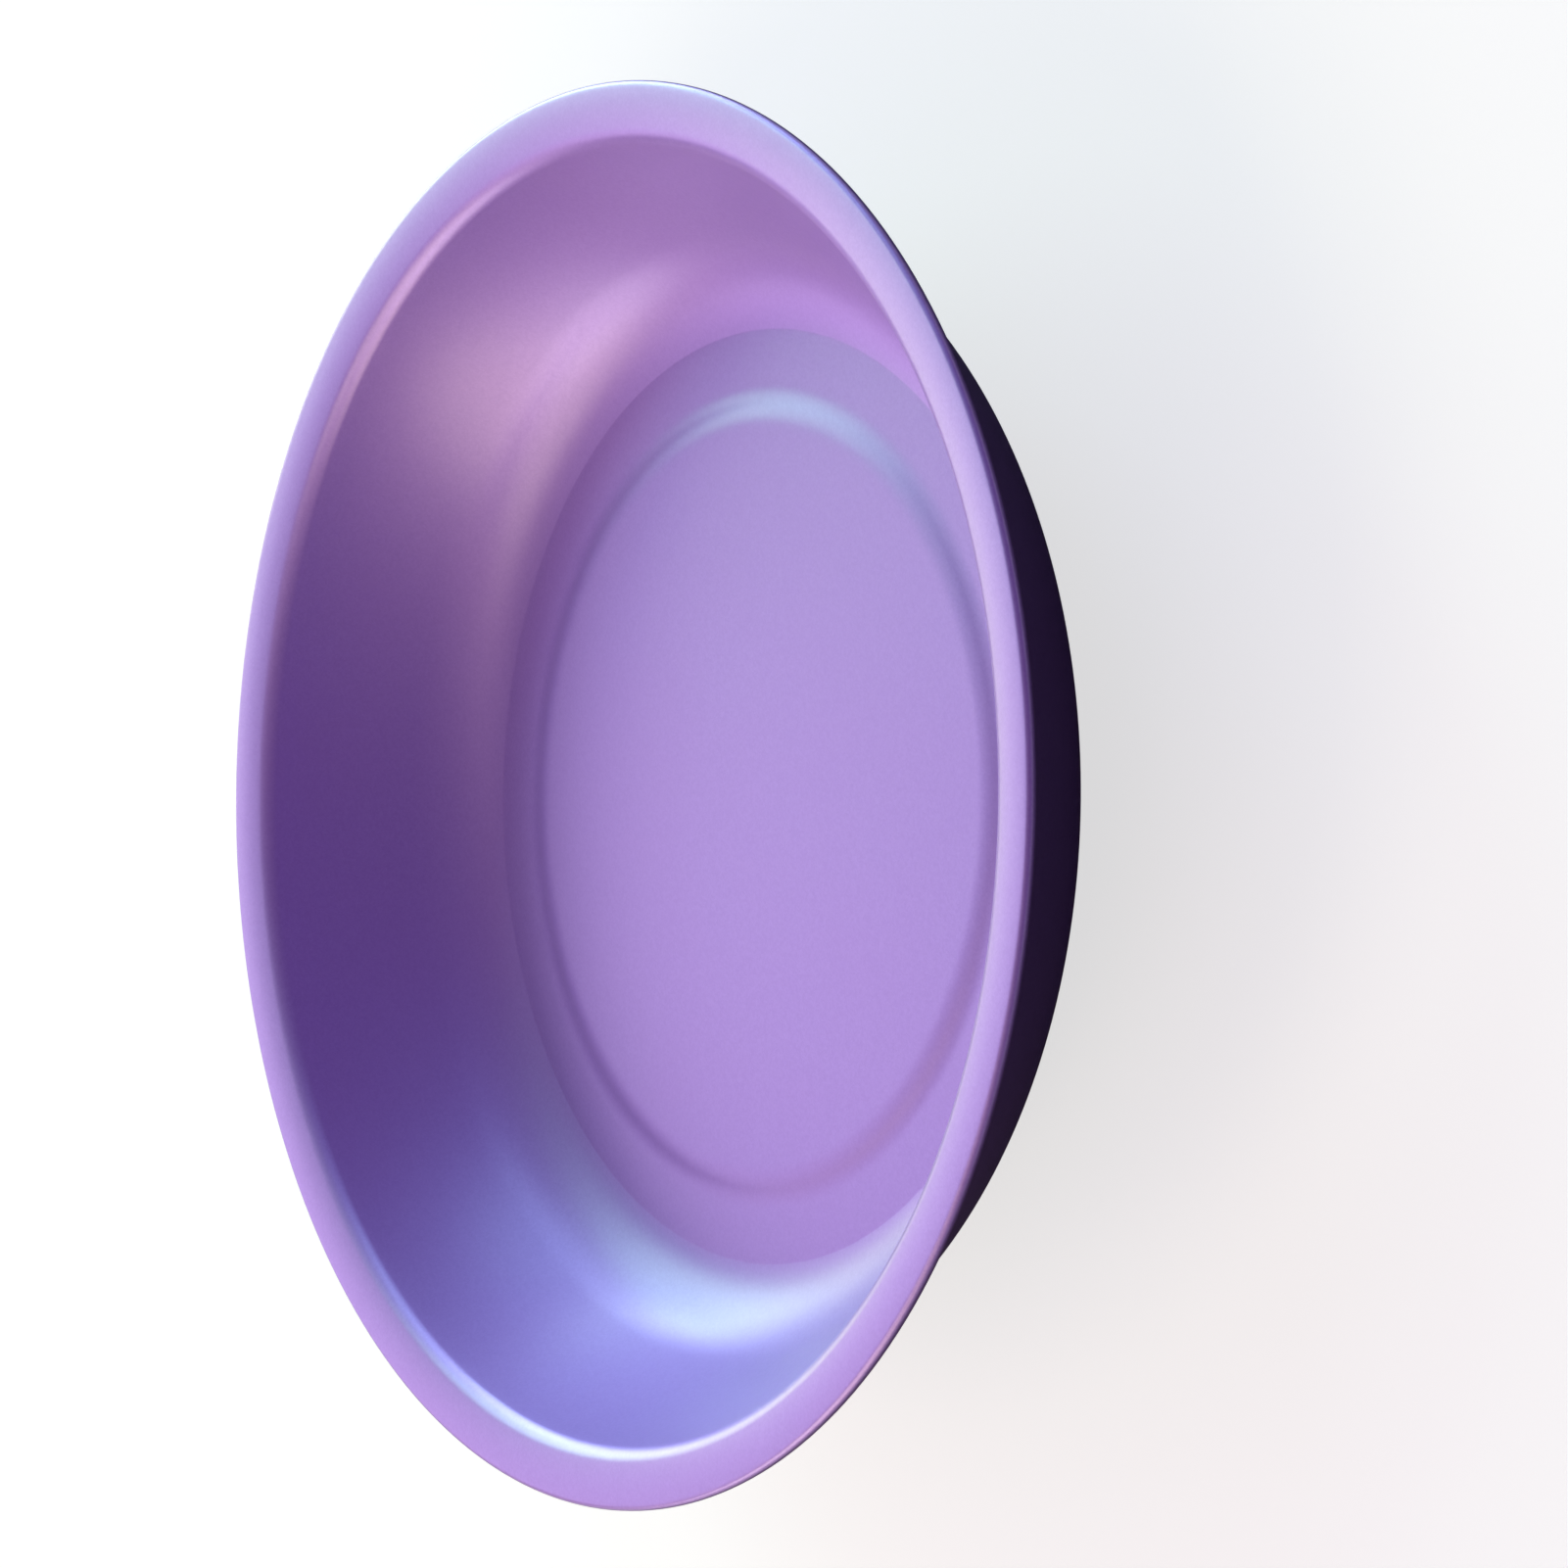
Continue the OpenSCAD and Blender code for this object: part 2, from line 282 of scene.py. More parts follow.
# %% Rounded sections and rings
def rounded(corners, steps=4):
    """A closed section. A corner is (radius, height) or (radius, height, rounding)."""
    line = []
    for i, corner_point in enumerate(corners):
        here = Vector(corner_point[:2])
        if len(corner_point) == 2:
            line.append(tuple(here))
            continue
        back = (Vector(corners[i - 1][:2]) - here).normalized()
        ahead = (Vector(corners[(i + 1) % len(corners)][:2]) - here).normalized()
        half = back.angle(ahead) / 2
        middle = here + (back + ahead).normalized() * corner_point[2] / sin(half)
        reach = corner_point[2] / tan(half)
        first, last = here + back * reach - middle, here + ahead * reach - middle
        start, turn = atan2(first.y, first.x), first.angle_signed(last)
        line += arc(middle, corner_point[2], degrees(start), degrees(start - turn), steps)
    return line


def spun_piece(name, corners, steps=128):
    """A closed section, rounded and spun about the tray's axis."""
    piece = draw_section(name, rounded(corners), closed=True)
    spin_section(piece, steps)
    report(piece)
    return piece


# %% [markdown]
# ## The rubber boot
#
# The boot is a moulded cup over the magnet. It keeps the steel off the paint of a car or a
# cabinet, and its grooved sole grips. Its lip folds in over the magnet, so it can't slip
# off. The grooves are cut into the section, each with a rounded mouth, as a mould makes them.

# %% Rubber boot
FIT_GAP = 0.2
BOOT_STEPS = 192
SOLE, LIP_WIDTH = 1.6, 2.1
BOOT_DRAFT = 2
GROOVES, GROOVE_WIDTH, GROOVE_DEPTH, GROOVE_EDGE = 3, 1.8, 0.7, 0.15
BOOT_HOLE, HOLE_EDGE, HOLE_INNER_EDGE = 7.2, 0.5, 0.3
SOLE_EDGE, BOOT_TOP_EDGE, LIP_EDGE, INSIDE_EDGE = 1.2, 0.5, 0.2, 0.3
boot_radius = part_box("rubber_boot")[1].x / MM
keeper_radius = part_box("keeper_plate")[1].x / MM
magnet_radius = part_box("ring_magnet")[1].x / MM
magnet_top = top_of("ring_magnet")
boot_inside = keeper_radius + FIT_GAP
lip_at = magnet_radius - LIP_WIDTH
boot_top_at = boot_radius - pad_under * tan(radians(BOOT_DRAFT))
groove_pitch = (boot_radius - SOLE_EDGE - BOOT_HOLE) / (GROOVES + 1)

boot_corners = [
    (boot_radius, 0, SOLE_EDGE), (boot_top_at, pad_under, BOOT_TOP_EDGE),
    (lip_at, pad_under, LIP_EDGE), (lip_at, magnet_top, LIP_EDGE), (boot_inside, magnet_top),
    (boot_inside, SOLE, INSIDE_EDGE), (BOOT_HOLE, SOLE, HOLE_INNER_EDGE),
    (BOOT_HOLE, 0, HOLE_EDGE)]
for i in range(1, GROOVES + 1):
    at, mouth, bed = BOOT_HOLE + i * groove_pitch, GROOVE_WIDTH / 2, GROOVE_WIDTH / 4
    boot_corners += [(at - mouth, 0, GROOVE_EDGE), (at - bed, GROOVE_DEPTH, GROOVE_EDGE),
                     (at + bed, GROOVE_DEPTH, GROOVE_EDGE), (at + mouth, 0, GROOVE_EDGE)]
boot = spun_piece("boot", boot_corners, steps=BOOT_STEPS)

# %% [markdown]
# ## Magnet and foam
#
# These two are out of sight in a whole tray, but anyone who takes it apart finds them. The
# magnet is a ring of ground ferrite, chamfered because a sharp edge would chip. Foam above
# it takes up the play and stops it from rattling against the paint.

# %% Magnet and foam
MAGNET_BORE, MAGNET_CHAMFER, MAGNET_EDGE = 12, 0.5, 0.08
FOAM_WIDTH, FOAM_EDGE = 8, 0.1
RING_STEPS = 160


def box_corners(inside, outside, low, high, rounding):
    """The section of a plain ring, with all four corners rounded alike."""
    return [(inside, low, rounding), (outside, low, rounding),
            (outside, high, rounding), (inside, high, rounding)]


magnet_bottom = bottom_of("ring_magnet")
bore_chamfered, side_chamfered = MAGNET_BORE + MAGNET_CHAMFER, magnet_radius - MAGNET_CHAMFER
above_chamfer, below_chamfer = magnet_bottom + MAGNET_CHAMFER, magnet_top - MAGNET_CHAMFER
magnet = spun_piece("magnet", [(*corner_at, MAGNET_EDGE) for corner_at in (
    (bore_chamfered, magnet_bottom), (side_chamfered, magnet_bottom),
    (magnet_radius, above_chamfer), (magnet_radius, below_chamfer),
    (side_chamfered, magnet_top), (bore_chamfered, magnet_top),
    (MAGNET_BORE, below_chamfer), (MAGNET_BORE, above_chamfer))], steps=RING_STEPS)

foam_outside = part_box("gasket_ring")[1].x / MM
foam = spun_piece("foam_ring", box_corners(
    foam_outside - FOAM_WIDTH, foam_outside, magnet_top, pad_under, FOAM_EDGE), steps=RING_STEPS)

# %% [markdown]
# ## Keeper plate and centring ring
#
# A pressed steel plate under the magnet turns its pull towards the sole. The hat in its
# middle rises through the magnet's bore, so that the nut inside it stays above the sole.
# A nylon ring round the foot of the hat keeps the brittle ferrite off the steel.

# %% Keeper plate and centring ring
HAT_DRAFT, HAT_BROW_RADIUS, HAT_FOOT_RADIUS = 10, 1.8, 0.8
WASHER_RADIUS, HAT_ROOM = 5, 0.4
STUD_HOLE, HOLE_BURR, KEEPER_EDGE = 2.65, 0.1, 0.25
NYLON_EDGE, NYLON_CHAMFER, NYLON_CHAMFER_EDGE = 0.15, 0.6, 0.1
plate = magnet_bottom - bottom_of("keeper_plate")
hat_top = top_of("keeper_plate")
lean = radians(HAT_DRAFT)
both_radii = HAT_BROW_RADIUS + HAT_FOOT_RADIUS
hat_rise = hat_top - magnet_bottom - both_radii * (1 - sin(lean))
hat_brow = (WASHER_RADIUS + HAT_ROOM, hat_top - HAT_BROW_RADIUS)
hat_foot = (hat_brow[0] + both_radii * cos(lean) + hat_rise * tan(lean),
            magnet_bottom + HAT_FOOT_RADIUS)


def hat_side(drop):
    """The pressed line from the hat's crown to the plate, drop below its upper surface."""
    return (arc(hat_brow, HAT_BROW_RADIUS - drop, 90, HAT_DRAFT, 10)
            + arc(hat_foot, HAT_FOOT_RADIUS + drop, HAT_DRAFT - 180, -90, 10)
            + [(hat_foot[0] + HAT_FOOT_RADIUS, magnet_bottom - drop)])


keeper = spun_piece("keeper", [
    (STUD_HOLE, hat_top - plate, HOLE_BURR), (STUD_HOLE, hat_top, HOLE_BURR), *hat_side(0),
    (keeper_radius, magnet_bottom, KEEPER_EDGE),
    (keeper_radius, magnet_bottom - plate, KEEPER_EDGE),
    *hat_side(plate)[::-1]], steps=RING_STEPS)

ring_in, ring_out = hat_foot[0] + FIT_GAP, MAGNET_BORE - FIT_GAP
ring_top = top_of("centring_ring")
centring = spun_piece("centring_ring_nylon", [
    (ring_in, magnet_bottom, NYLON_EDGE), (ring_out, magnet_bottom, NYLON_EDGE),
    (ring_out, ring_top, NYLON_EDGE), (ring_in + NYLON_CHAMFER, ring_top, NYLON_CHAMFER_EDGE),
    (ring_in, ring_top - NYLON_CHAMFER, NYLON_CHAMFER_EDGE)])

# %% [markdown]
# ## Washers
#
# A flat washer is stamped, so its edges are slightly rounded. A spring washer is a turn of
# square wire, cut through on a slant. The slant is cut from a whole ring with a Boolean
# modifier, which keeps the two sharp ends that bite into the nut.

# %% Washers
FLAT_BORE, FLAT_EDGE = 2.65, 0.12
SPRING_BORE, SPRING_EDGE = 2.6, 0.15
SPLIT, SPLIT_SLOPE = 0.7, 20
SPLIT_CUTTER, CUTTER_AT = (8, SPLIT, 6), 4


def washer(name, node, bore, rounding):
    """A plain ring with the node's height and outside."""
    return spun_piece(name, box_corners(
        bore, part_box(node)[1].x / MM, bottom_of(node), top_of(node), rounding))


def combine(piece, other, operation):
    """Applies a Boolean modifier to piece and removes the other object."""
    deselect_all()
    piece.select_set(True)
    bpy.context.view_layer.objects.active = piece
    boolean = piece.modifiers.new(operation, "BOOLEAN")
    boolean.operation, boolean.object, boolean.solver = operation, other, "EXACT"
    bpy.ops.object.modifier_apply(modifier=boolean.name)
    bpy.data.objects.remove(other)


flat_washer = washer("washer_flat", "flat_washer", FLAT_BORE, FLAT_EDGE)
split_washer = washer("washer_split", "spring_washer", SPRING_BORE, SPRING_EDGE)

split_middle = (bottom_of("spring_washer") + top_of("spring_washer")) / 2
deselect_all()
bpy.ops.mesh.primitive_cube_add(size=MM, location=(CUTTER_AT * MM, 0, split_middle * MM),
                                rotation=(radians(SPLIT_SLOPE), 0, 0), scale=SPLIT_CUTTER)
combine(split_washer, bpy.context.object, "DIFFERENCE")
bpy.ops.object.shade_smooth_by_angle(angle=SMOOTH_BELOW)
report(split_washer)

# %% [markdown]
# ## A real thread
#
# A thread can be faked by a bump, but a bump has a straight outline. Here one tooth is drawn
# as a section and a Screw modifier winds it up, one pitch for each turn. The nut is cut with
# the same helix, a little larger, so the two threads mesh.

# %% Thread
PITCH, TOOTH, STUD_RADIUS, THREAD_GAP = 0.8, 0.43, 2.5, 0.05
FLANK_STARTS, CREST_STARTS, CREST_ENDS = 0.25, 0.56, 0.69  # shares of a pitch
THREAD_STEPS = 48


def threaded_rod(name, grow, low, high):
    """A rod with a helix between two heights, its surface moved outwards by grow."""
    crest, root = STUD_RADIUS + grow, STUD_RADIUS + grow - TOOTH
    first = (low // PITCH - 1) * PITCH
    tooth = [(root, first), (root, first + FLANK_STARTS * PITCH),
             (crest, first + CREST_STARTS * PITCH), (crest, first + CREST_ENDS * PITCH),
             (root, first + PITCH)]
    rod = draw_section(name, tooth, closed=False)
    bpy.ops.object.mode_set(mode="OBJECT")
    winding = rod.modifiers.new("winding", "SCREW")
    winding.axis, winding.screw_offset = "Z", PITCH * MM
    winding.steps = winding.render_steps = THREAD_STEPS
    winding.iterations = int((high - first) / PITCH) + 2
    bpy.ops.object.modifier_apply(modifier=winding.name)
    bpy.ops.object.mode_set(mode="EDIT")
    for height, below in ((low, True), (high, False)):
        finish_shell()
        bpy.ops.mesh.bisect(plane_co=(0, 0, height * MM), plane_no=(0, 0, 1), use_fill=True,
                            clear_inner=below, clear_outer=not below)
    finish_shell()
    bpy.ops.object.mode_set(mode="OBJECT")
    return rod


# %% [markdown]
# ## Weld stud
#
# The stud has a small flange that a capacitor discharge welds to the pad's underside in a
# few milliseconds, so fast that the paint side shows nothing. Its end is chamfered, which
# helps the nut to start.

# %% Weld stud
WELD_FLANGE_RADIUS, WELD_FLANGE_EDGE = 3.25, 0.1
STUD_CHAMFER, CLEAR_OF_CREST, INTO_FLANGE = 0.4, 0.01, 0.3
stud_end, stud_top = bottom_of("weld_stud"), top_of("weld_stud")
stud = threaded_rod("stud", 0, stud_end, hat_top + INTO_FLANGE)
outside = STUD_RADIUS + CLEAR_OF_CREST
envelope = spun_piece("stud_envelope", [
    (0, stud_end), (STUD_RADIUS - STUD_CHAMFER, stud_end),
    (outside, stud_end + STUD_CHAMFER + CLEAR_OF_CREST), (outside, stud_top), (0, stud_top)])
combine(stud, envelope, "INTERSECT")
weld_flange = spun_piece("stud_flange", [
    (0, hat_top), (WELD_FLANGE_RADIUS, hat_top, WELD_FLANGE_EDGE),
    (WELD_FLANGE_RADIUS, stud_top), (0, stud_top)])
combine(stud, weld_flange, "UNION")
bpy.ops.object.shade_smooth_by_angle(angle=MACHINED_SMOOTH_BELOW)
report(stud)

# %% [markdown]
# ## Nut
#
# A nut starts as a six-sided bar. Turning it against a cone gives the curved edges where
# flats and chamfer meet, so the bar is intersected with a spun double cone, its edges are
# broken by a small bevel, and the bore is countersunk and threaded.

# %% Nut
NUT_FLAT, NUT_CHAMFER, COUNTERSINK = 4, 30, 0.4
EDGE_BREAK, NUT_STEPS = 0.05, 192
CUT_OVER, TAP_OVER = 1, 0.5
nut_low, nut_high = bottom_of("thin_nut"), top_of("thin_nut")
nut_corner = NUT_FLAT / cos(radians(30))
chamfer_drop = (nut_corner - NUT_FLAT) * tan(radians(NUT_CHAMFER))
deselect_all()
bpy.ops.mesh.primitive_cylinder_add(
    vertices=6, radius=nut_corner * MM, depth=(nut_high - nut_low) * MM,
    location=(0, 0, (nut_low + nut_high) / 2 * MM), rotation=(0, 0, radians(30)))
nut = bpy.context.object
nut.name = nut.data.name = "nut"
bpy.ops.object.transform_apply()
turned = spun_piece("nut_cones", [
    (0, nut_low), (NUT_FLAT, nut_low), (nut_corner, nut_low + chamfer_drop),
    (nut_corner, nut_high - chamfer_drop), (NUT_FLAT, nut_high), (0, nut_high)],
    steps=NUT_STEPS)
combine(nut, turned, "INTERSECT")
softened = nut.modifiers.new("softened", "BEVEL")
softened.width, softened.segments = EDGE_BREAK * MM, 2
softened.limit_method, softened.angle_limit = "ANGLE", MACHINED_SMOOTH_BELOW
bpy.ops.object.modifier_apply(modifier=softened.name)

bore = STUD_RADIUS + THREAD_GAP
wide = bore + COUNTERSINK + CUT_OVER
for low, high, at_low, at_high in (
        (nut_low - CUT_OVER, nut_low + COUNTERSINK, wide, bore),
        (nut_high - COUNTERSINK, nut_high + CUT_OVER, bore, wide)):
    cone = spun_piece("countersink", [(0, low), (at_low, low), (at_high, high), (0, high)])
    combine(nut, cone, "DIFFERENCE")
tap = threaded_rod("tap", THREAD_GAP, nut_low - TAP_OVER, nut_high + TAP_OVER)
combine(nut, tap, "DIFFERENCE")
bpy.ops.object.shade_smooth_by_angle(angle=MACHINED_SMOOTH_BELOW)
report(nut)

# %% [markdown]
# ## Finishes
#
# A finish is more than its colour: paint has flakes and a clear skin, zinc has a fine
# spangle, rubber has the grain of its mould. Every pattern here reads Object coordinates,
# which lie still on the piece, and is sized in millimetres. No pictures are used.


# %% Helpers for finishes
def new_finish(name, roughness, metallic=0.0):
    """A material, its nodes and links, its shader, and the place on the piece."""
    finish = bpy.data.materials.new(name)
    finish.use_nodes = True
    tree = finish.node_tree
    shader = tree.nodes["Principled BSDF"]
    shader.inputs["Roughness"].default_value = roughness
    shader.inputs["Metallic"].default_value = metallic
    place = tree.nodes.new("ShaderNodeTexCoord").outputs["Object"]
    return finish, tree, shader, place


def stretched(tree, place, x=1.0, y=1.0, z=1.0):
    mapping = tree.nodes.new("ShaderNodeMapping")
    mapping.inputs["Scale"].default_value = (x, y, z)
    tree.links.new(place, mapping.inputs["Vector"])
    return mapping.outputs["Vector"]


def noise(tree, place, size, detail=2.0):
    """A cloudy pattern whose lumps are about size millimetres across."""
    node = tree.nodes.new("ShaderNodeTexNoise")
    node.inputs["Scale"].default_value = 1 / (size * MM)
    node.inputs["Detail"].default_value = detail
    tree.links.new(place, node.inputs["Vector"])
    return node.outputs["Fac"]


def cells(tree, place, size, output="Color"):
    """A pattern of cells about size millimetres across."""
    node = tree.nodes.new("ShaderNodeTexVoronoi")
    node.inputs["Scale"].default_value = 1 / (size * MM)
    tree.links.new(place, node.inputs["Vector"])
    return node.outputs[output]


def spread(tree, pattern, low, high, start=0.3, end=0.7):
    """Turns a pattern into a number between low and high."""
    node = tree.nodes.new("ShaderNodeMapRange")
    for name, value in (("From Min", start), ("From Max", end), ("To Min", low), ("To Max", high)):
        node.inputs[name].default_value = value
    tree.links.new(pattern, node.inputs["Value"])
    return node.outputs["Result"]


def blended(tree, share, first, second):
    """Mixes two colours, or a colour and a blend, by a share between 0 and 1."""
    node = tree.nodes.new("ShaderNodeMix")
    node.data_type = "RGBA"
    tree.links.new(share, node.inputs["Factor"])
    for socket, colour in (("A", first), ("B", second)):
        socket = next(s for s in node.inputs if s.name == socket and s.type == "RGBA")
        if isinstance(colour, tuple):
            socket.default_value = (*colour, 1)
        else:
            tree.links.new(colour, socket)
    return next(s for s in node.outputs if s.type == "RGBA")


def bumped(tree, pattern, height, under=None):
    """A bump of this height in millimetres, on top of another bump if there is one."""
    node = tree.nodes.new("ShaderNodeBump")
    node.inputs["Strength"].default_value = 1
    node.inputs["Distance"].default_value = height * MM
    tree.links.new(pattern, node.inputs["Height"])
    if under:
        tree.links.new(under, node.inputs["Normal"])
    return node.outputs["Normal"]


finishes = {}

# %% [markdown]
# ## Purple powder coat
#
# The paint is a pearl: mica flakes float in a violet coat, and a satin clear coat covers
# them. A plain glossy purple would look like plastic. A half-metallic base with a wide
# highlight stands for the flakes, and the shader's own coat, with a narrower one, for the
# skin. Cells of a fifth of a millimetre make the flakes' grain, a slow noise lets the pearl
# drift a little, and a low bump is the orange peel that every baked coat has.

# %% Purple powder coat
DEEP_FLAKE, LIGHT_FLAKE, CLOUD = (0.375, 0.23, 0.655), (0.43, 0.275, 0.71), (0.41, 0.23, 0.66)
FLAKE_SIZE, CLOUD_SIZE, CLOUD_SHARE = 0.22, 22, 0.25
PEARL_METALLIC, CLEAR_ROUGHNESS = 0.6, 0.29
PEEL_SIZE, PEEL_HEIGHT = 2.2, 0.012
GRAIN_SIZE, GRAIN_HEIGHT = 0.3, 0.003

coat, tree, shader, place = new_finish("purple_coat", roughness=0.5, metallic=PEARL_METALLIC)
shader.inputs["Coat Weight"].default_value = 1.0
shader.inputs["Coat Roughness"].default_value = CLEAR_ROUGHNESS
flakes = blended(tree, cells(tree, place, FLAKE_SIZE), DEEP_FLAKE, LIGHT_FLAKE)
drift = noise(tree, place, CLOUD_SIZE, detail=1.0)
clouded = blended(tree, spread(tree, drift, 0.0, CLOUD_SHARE), flakes, CLOUD)
tree.links.new(clouded, shader.inputs["Base Color"])
tree.links.new(spread(tree, noise(tree, place, 0.6), 0.47, 0.53), shader.inputs["Roughness"])
peel = bumped(tree, noise(tree, place, PEEL_SIZE, detail=1.0), PEEL_HEIGHT)
grain = bumped(tree, noise(tree, place, GRAIN_SIZE), GRAIN_HEIGHT, under=peel)
tree.links.new(grain, shader.inputs["Normal"])
finishes["purple_coat"] = coat
print(f"purple coat: flakes of {FLAKE_SIZE} mm, orange peel of {PEEL_SIZE} mm")

# %% [markdown]
# ## Black rubber
#
# Moulded nitrile rubber is matt and not quite black. It takes the fine spark-eroded grain
# of its mould, and picks up a little grey dust, more in some places than in others.

# %% Black rubber
BLACK, DUSTY = (0.018, 0.018, 0.019), (0.036, 0.035, 0.034)
DUST_SIZE, DUST_SHARE = 9, 0.5
SPARK_SIZE, SPARK_HEIGHT = 0.18, 0.02

rubber, tree, shader, place = new_finish("black_rubber", roughness=0.7)
shader.inputs["Specular IOR Level"].default_value = 0.35
drift = noise(tree, place, DUST_SIZE, detail=4.0)
dust = spread(tree, drift, 0.0, DUST_SHARE, start=0.45, end=0.75)
tree.links.new(blended(tree, dust, BLACK, DUSTY), shader.inputs["Base Color"])
tree.links.new(spread(tree, noise(tree, place, 1.4), 0.62, 0.78), shader.inputs["Roughness"])
sparked = bumped(tree, noise(tree, place, SPARK_SIZE, detail=3.0), SPARK_HEIGHT)
tree.links.new(sparked, shader.inputs["Normal"])
finishes["black_rubber"] = rubber
print(f"black rubber: grain of {SPARK_SIZE} mm")

# %% [markdown]
# ## Zinc plating
#
# The stud, nut, washers and keeper are zinc plated against rust. Zinc grows in small grains
# that turn their faces different ways, so brightness changes from one to the next. The
# small pieces rub against each other in the plating barrel, which leaves fine scuffs.

# %% Zinc plating
DULL_GRAIN, BRIGHT_GRAIN = (0.60, 0.61, 0.64), (0.78, 0.79, 0.82)
STAINED, STAIN_SIZE, STAIN_SHARE = (0.66, 0.66, 0.62), 5, 0.35
SPANGLE_SIZE = 0.35
SCUFF_SIZE, SCUFF_HEIGHT = 0.25, 0.004

zinc, tree, shader, place = new_finish("zinc_plate", roughness=0.3, metallic=1.0)
spangle = blended(tree, cells(tree, place, SPANGLE_SIZE), DULL_GRAIN, BRIGHT_GRAIN)
stain = spread(tree, noise(tree, place, STAIN_SIZE, detail=3.0), 0.0, STAIN_SHARE)
tree.links.new(blended(tree, stain, spangle, STAINED), shader.inputs["Base Color"])
tree.links.new(spread(tree, noise(tree, place, 0.8, detail=3.0), 0.24, 0.42),
               shader.inputs["Roughness"])
scuffed = bumped(tree, noise(tree, place, SCUFF_SIZE, detail=3.0), SCUFF_HEIGHT)
tree.links.new(scuffed, shader.inputs["Normal"])
finishes["zinc_plate"] = zinc
print(f"zinc plate: grains of {SPANGLE_SIZE} mm")

# %% [markdown]
# ## Ferrite
#
# A ferrite magnet is a ceramic, pressed, fired and then ground on its flat faces. The wheel
# leaves straight scratches across them, which a noise stretched along one axis gives.

# %% Ferrite
DARK_FERRITE, PALE_FERRITE = (0.035, 0.035, 0.038), (0.07, 0.07, 0.074)
SCRATCH_WIDTH, SCRATCH_HEIGHT, SCRATCH_STRETCH = 0.12, 0.004, 0.04
PIT_SIZE, PIT_DEPTH = 0.5, 0.01

ferrite, tree, shader, place = new_finish("ferrite", roughness=0.5)
drawn_out = stretched(tree, place, y=SCRATCH_STRETCH)
scratches = noise(tree, drawn_out, SCRATCH_WIDTH, detail=3.0)
ground = blended(tree, spread(tree, scratches, 0.0, 1.0), DARK_FERRITE, PALE_FERRITE)
tree.links.new(ground, shader.inputs["Base Color"])
tree.links.new(spread(tree, scratches, 0.4, 0.6), shader.inputs["Roughness"])
pits = bumped(tree, noise(tree, place, PIT_SIZE, detail=4.0), PIT_DEPTH)
tree.links.new(bumped(tree, scratches, SCRATCH_HEIGHT, under=pits), shader.inputs["Normal"])
finishes["ferrite"] = ferrite
print(f"ferrite: scratches {SCRATCH_WIDTH} mm wide")

# %% [markdown]
# ## Foam and nylon
#
# Closed-cell foam shows a skin of burst bubbles where it was cut, so its bump is made of
# round cells. Natural nylon is milky and smooth, a little yellower in some places than in others.

# %% Foam and nylon
PAINTED_PIT_SHADE, BUBBLE_WALL = (0.075, 0.075, 0.08), (0.15, 0.15, 0.155)
BUBBLE_SIZE, BUBBLE_DEPTH = 0.55, 0.12
THICK_NYLON, THIN_NYLON, MILK_SIZE = (0.80, 0.78, 0.70), (0.84, 0.83, 0.78), 4
MOULD_SIZE, MOULD_HEIGHT = 0.4, 0.01

foam_finish, tree, shader, place = new_finish("grey_foam", roughness=0.9)
# Each pit is painted darker towards its bottom and lighter at its rim. This is painted shade in
# the burst bubbles, whose pits the same cells' bump sinks.
bubbles = cells(tree, place, BUBBLE_SIZE, output="Distance")
pit_shade_share = spread(tree, bubbles, 0.0, 1.0, start=0.1, end=0.6)
tree.links.new(blended(tree, pit_shade_share, PAINTED_PIT_SHADE, BUBBLE_WALL), shader.inputs["Base Color"])
tree.links.new(bumped(tree, bubbles, BUBBLE_DEPTH), shader.inputs["Normal"])
finishes["grey_foam"] = foam_finish

nylon, tree, shader, place = new_finish("white_nylon", roughness=0.4)
milk = spread(tree, noise(tree, place, MILK_SIZE, detail=3.0), 0.0, 1.0)
tree.links.new(blended(tree, milk, THICK_NYLON, THIN_NYLON), shader.inputs["Base Color"])
tree.links.new(spread(tree, noise(tree, place, 0.7), 0.34, 0.48), shader.inputs["Roughness"])
moulded = bumped(tree, noise(tree, place, MOULD_SIZE), MOULD_HEIGHT)
tree.links.new(moulded, shader.inputs["Normal"])
finishes["white_nylon"] = nylon
print("finishes:", ", ".join(sorted(finishes)))

# %% [markdown]
# ## Joining the pieces to the frame
#
# Each piece takes the place of one node of the CAD model, wears one finish, and rides on
# the tray's only body. Nothing on this tray moves against anything else.

# %% Join the pieces to the frame
for piece, node, finish in (
        (bowl, "tray_bowl", "purple_coat"), (boot, "rubber_boot", "black_rubber"),
        (magnet, "ring_magnet", "ferrite"), (foam, "gasket_ring", "grey_foam"),
        (centring, "centring_ring", "white_nylon"), (keeper, "keeper_plate", "zinc_plate"),
        (flat_washer, "flat_washer", "zinc_plate"), (split_washer, "spring_washer", "zinc_plate"),
        (stud, "weld_stud", "zinc_plate"), (nut, "thin_nut", "zinc_plate")):
    piece.data.materials.clear()
    piece.data.materials.append(finishes[finish])
    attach(piece, "root")
    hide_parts(node)
    print(f"{piece.name} stands for {node}, in {finish}")

# %% [markdown]
# ## Floor and background
#
# The tray stands on a plain pale floor that is the whole background. More lamp light would
# make it whiter but bleach the tray too, so the floor adds a glow of its own that only
# shows in rays from the camera, and in reflections that look further away than the tray's
# own shade. Light that bounces back at the tray is kept low, so its outside stays deep.
#
# The tray stands a hair above the floor, which would leave its sole black in a view from
# below. So the floor is clear when seen from underneath, and for rays that reach it within
# five millimetres, which start on the sole or on the nut above its opening. A lamp under
# the floor then lights them.

# %% Floor
FLOOR_SIDE, FLOOR_DROP = 6, 0.1
FLOOR_GLOW, FAR_GLOW = 0.68, 0.98
FAR_START, FAR_END = 0.4, 1.8
SOLE_REACH = 5
PALE, SUBDUED = (0.42, 0.42, 0.42), (0.03, 0.03, 0.03)
SHADE_START, SHADE_END = 0.12, 0.35


